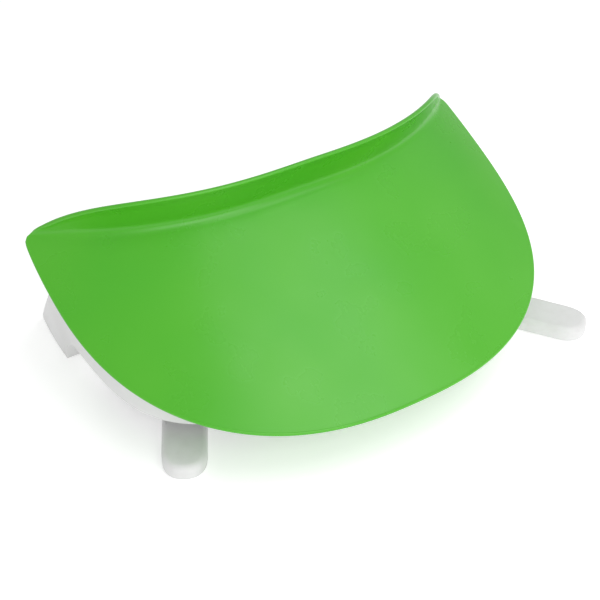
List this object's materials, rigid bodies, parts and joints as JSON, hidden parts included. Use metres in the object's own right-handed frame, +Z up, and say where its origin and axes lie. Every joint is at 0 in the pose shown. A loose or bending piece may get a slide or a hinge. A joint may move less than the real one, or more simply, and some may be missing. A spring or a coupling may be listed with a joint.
{
  "type": "visor-shaped tray on a low stand",
  "caption": "Arched D-shaped plastic tray with a raised lip along its concave rear edge, on a low white stand with moulded rear legs and slotted swing-out front feet.",
  "frame": {"origin": "on the floor, under the middle of the footprint with the feet as they stand; the tray's own middle line is 1.7 mm to the left of it, since the right foot reaches further out", "axes": "+Z up; -Y toward the tray's thin front edge; +X to the right seen from the front edge, across the tray"},
  "size_m": [0.388, 0.278, 0.1671],
  "materials": {
    "tray": "semi-gloss lime green moulding",
    "stand": "satin off-white moulding",
    "foot": "satin off-white moulding",
    "rubber": "matte dark grey rubber",
    "steel": "zinc-plated steel",
    "nylon": "natural nylon"
  },
  "bodies": {
    "base": {"stand": "stand", "tray": "tray", "rear_plug_left": "rubber", "rear_plug_right": "rubber", "tray_screw_1": "steel", "tray_screw_2": "steel", "tray_screw_3": "steel", "tray_screw_4": "steel", "screw_washer_1": "steel", "screw_washer_2": "steel", "screw_washer_3": "steel", "screw_washer_4": "steel"},
    "left_pivot": {"pivot_screw_left": "steel", "pivot_washer_left": "steel", "friction_ring_left": "nylon"},
    "left_foot": {"front_foot_left": "foot", "front_pad_left": "rubber"},
    "right_pivot": {"pivot_screw_right": "steel", "pivot_washer_right": "steel", "friction_ring_right": "nylon"},
    "right_foot": {"front_foot_right": "foot", "front_pad_right": "rubber"}
  },
  "joints": [
    {"name": "left_foot_swing", "type": "hinge", "parent": "base", "child": "left_pivot", "pos_m": [-0.1197, -0.007, 0], "axis": [0, 0, 1], "range_deg": [-20, 93]},
    {"name": "left_foot_slide", "type": "slide", "parent": "left_pivot", "child": "left_foot", "axis": [-0.4772, -0.8788, 0], "range_m": [-0.001, 0.043]},
    {"name": "right_foot_swing", "type": "hinge", "parent": "base", "child": "right_pivot", "pos_m": [0.1163, -0.007, 0], "axis": [0, 0, 1], "range_deg": [-99.5, 13.5]},
    {"name": "right_foot_slide", "type": "slide", "parent": "right_pivot", "child": "right_foot", "axis": [0.5736, -0.8192, 0], "range_m": [-0.041, 0.003]}
  ]
}
